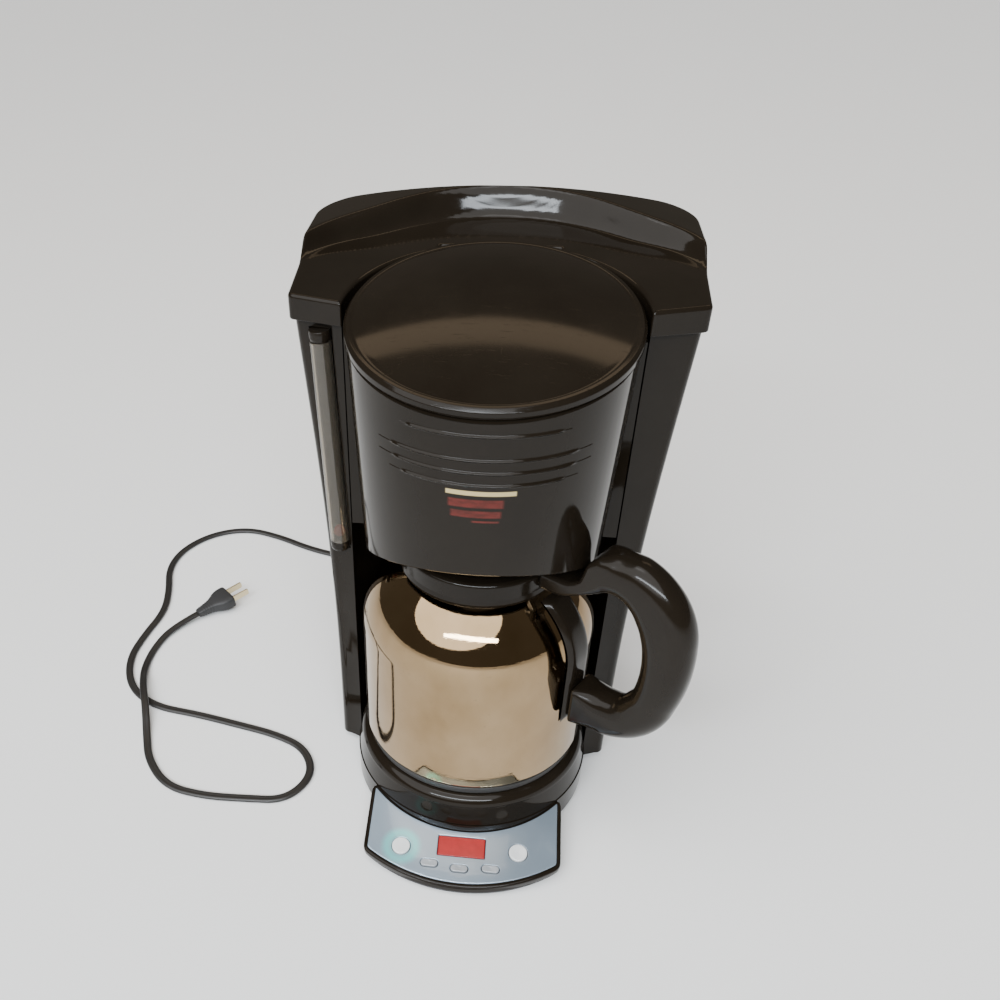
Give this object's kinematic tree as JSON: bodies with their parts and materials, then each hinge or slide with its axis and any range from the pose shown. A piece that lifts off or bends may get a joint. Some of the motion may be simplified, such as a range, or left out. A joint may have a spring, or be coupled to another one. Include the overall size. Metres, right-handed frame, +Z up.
{
  "type": "drip coffee maker",
  "caption": "Drip coffee maker with a hinged lid over the brew column, a polished steel thermal carafe, a sight gauge and a sloping control panel; flat cord with a two-blade plug.",
  "frame": {"origin": "on the surface it stands on, on the carafe's axis, in the middle of the machine's width", "axes": "+Z up, +X to the right of someone facing it, -Y towards them"},
  "size_m": [0.4496, 0.4181, 0.39],
  "materials": {
    "black_gloss": "gloss",
    "black_satin": "satin",
    "mirror_steel": "polished",
    "steel": "plain",
    "silver_panel": "metallic gloss",
    "smoked_clear": "clear",
    "display_red": "gloss",
    "float_red": "gloss",
    "grey_plastic": "satin",
    "tank_clear": "frosted",
    "rubber_black": "matte",
    "silicone": "matte",
    "aluminium": "cast",
    "gold_mesh": "fine mesh",
    "brass": "plain",
    "green_board": "satin",
    "white_ceramic": "matte"
  },
  "bodies": {
    "base": {"tower_housing": "black_gloss", "top_cap": "black_gloss", "lid_hinge_pin": "steel", "brew_housing": "black_gloss", "filter_basket": "black_satin", "permanent_filter": "gold_mesh", "valve_spring": "steel", "spray_head": "grey_plastic", "spray_inlet": "grey_plastic", "riser_tube": "silicone", "inlet_hose": "silicone", "check_valve": "grey_plastic", "water_tank": "tank_clear", "fill_chute": "grey_plastic", "gauge_tube": "smoked_clear", "gauge_fittings": "black_satin", "base_shell": "black_gloss", "base_cover": "black_satin", "base_screws": "steel", "feet": "rubber_black", "platform": "black_gloss", "platform_mat": "black_satin", "control_panel": "silver_panel", "display_window": "display_red", "display_module": "grey_plastic", "control_board": "green_board", "heater_casting": "aluminium", "thermostat": "steel", "thermal_fuse": "white_ceramic", "terminal_block": "white_ceramic", "wire_loom": "rubber_black", "cord_relief": "rubber_black", "power_cord": "rubber_black", "plug_body": "rubber_black", "plug_blades": "brass"},
    "lid": {"brew_lid": "black_gloss"},
    "carafe": {"carafe_shell": "mirror_steel", "carafe_liner": "steel", "carafe_base_ring": "black_satin", "carafe_collar": "black_gloss", "carafe_handle": "black_gloss", "handle_spine": "black_gloss"},
    "carafe_stopper": {"carafe_lid": "black_gloss", "lid_gasket": "silicone"},
    "drip_valve": {"drip_valve": "grey_plastic"},
    "gauge_float": {"gauge_float": "float_red"},
    "hour_button": {"hour_button": "black_gloss"},
    "minute_button": {"minute_button": "black_gloss"},
    "program_button": {"program_button": "black_gloss"},
    "auto_button": {"auto_button": "silver_panel"},
    "brew_button": {"brew_button": "black_gloss"}
  },
  "joints": [
    {"name": "lid_hinge", "type": "hinge", "parent": "base", "child": "lid", "pos_m": [0, 0.07351, 0.367], "axis": [-1, 0, 0], "range_deg": [0, 92]},
    {"name": "carafe_slide", "type": "slide", "parent": "base", "child": "carafe", "axis": [0, -1, 0], "range_m": [0, 0.25]},
    {"name": "stopper_twist", "type": "hinge", "parent": "carafe", "child": "carafe_stopper", "pos_m": [0, 0, 0.2], "axis": [0, 0, 1], "range_deg": [0, 75]},
    {"name": "drip_valve_lift", "type": "slide", "parent": "base", "child": "drip_valve", "axis": [0, 0, 1], "range_m": [0, 0.0025], "stiffness_N_per_m": 150, "springref_m": -0.004, "deforming": ["valve_spring"]},
    {"name": "float_rise", "type": "slide", "parent": "base", "child": "gauge_float", "axis": [-0.0335, 0, 0.9994], "range_m": [0, 0.124]},
    {"name": "hour_press", "type": "slide", "parent": "base", "child": "hour_button", "axis": [0, 0.1719, -0.9851], "range_m": [0, 0.0008], "stiffness_N_per_m": 400, "springref_m": -0.0005},
    {"name": "minute_press", "type": "slide", "parent": "base", "child": "minute_button", "axis": [0, 0.1719, -0.9851], "range_m": [0, 0.0008], "stiffness_N_per_m": 400, "springref_m": -0.0005},
    {"name": "program_press", "type": "slide", "parent": "base", "child": "program_button", "axis": [0, 0.1719, -0.9851], "range_m": [0, 0.0008], "stiffness_N_per_m": 400, "springref_m": -0.0005},
    {"name": "auto_press", "type": "slide", "parent": "base", "child": "auto_button", "axis": [0, 0.1719, -0.9851], "range_m": [0, 0.0008], "stiffness_N_per_m": 400, "springref_m": -0.0005},
    {"name": "brew_press", "type": "slide", "parent": "base", "child": "brew_button", "axis": [0, 0.1719, -0.9851], "range_m": [0, 0.0008], "stiffness_N_per_m": 400, "springref_m": -0.0005}
  ]
}
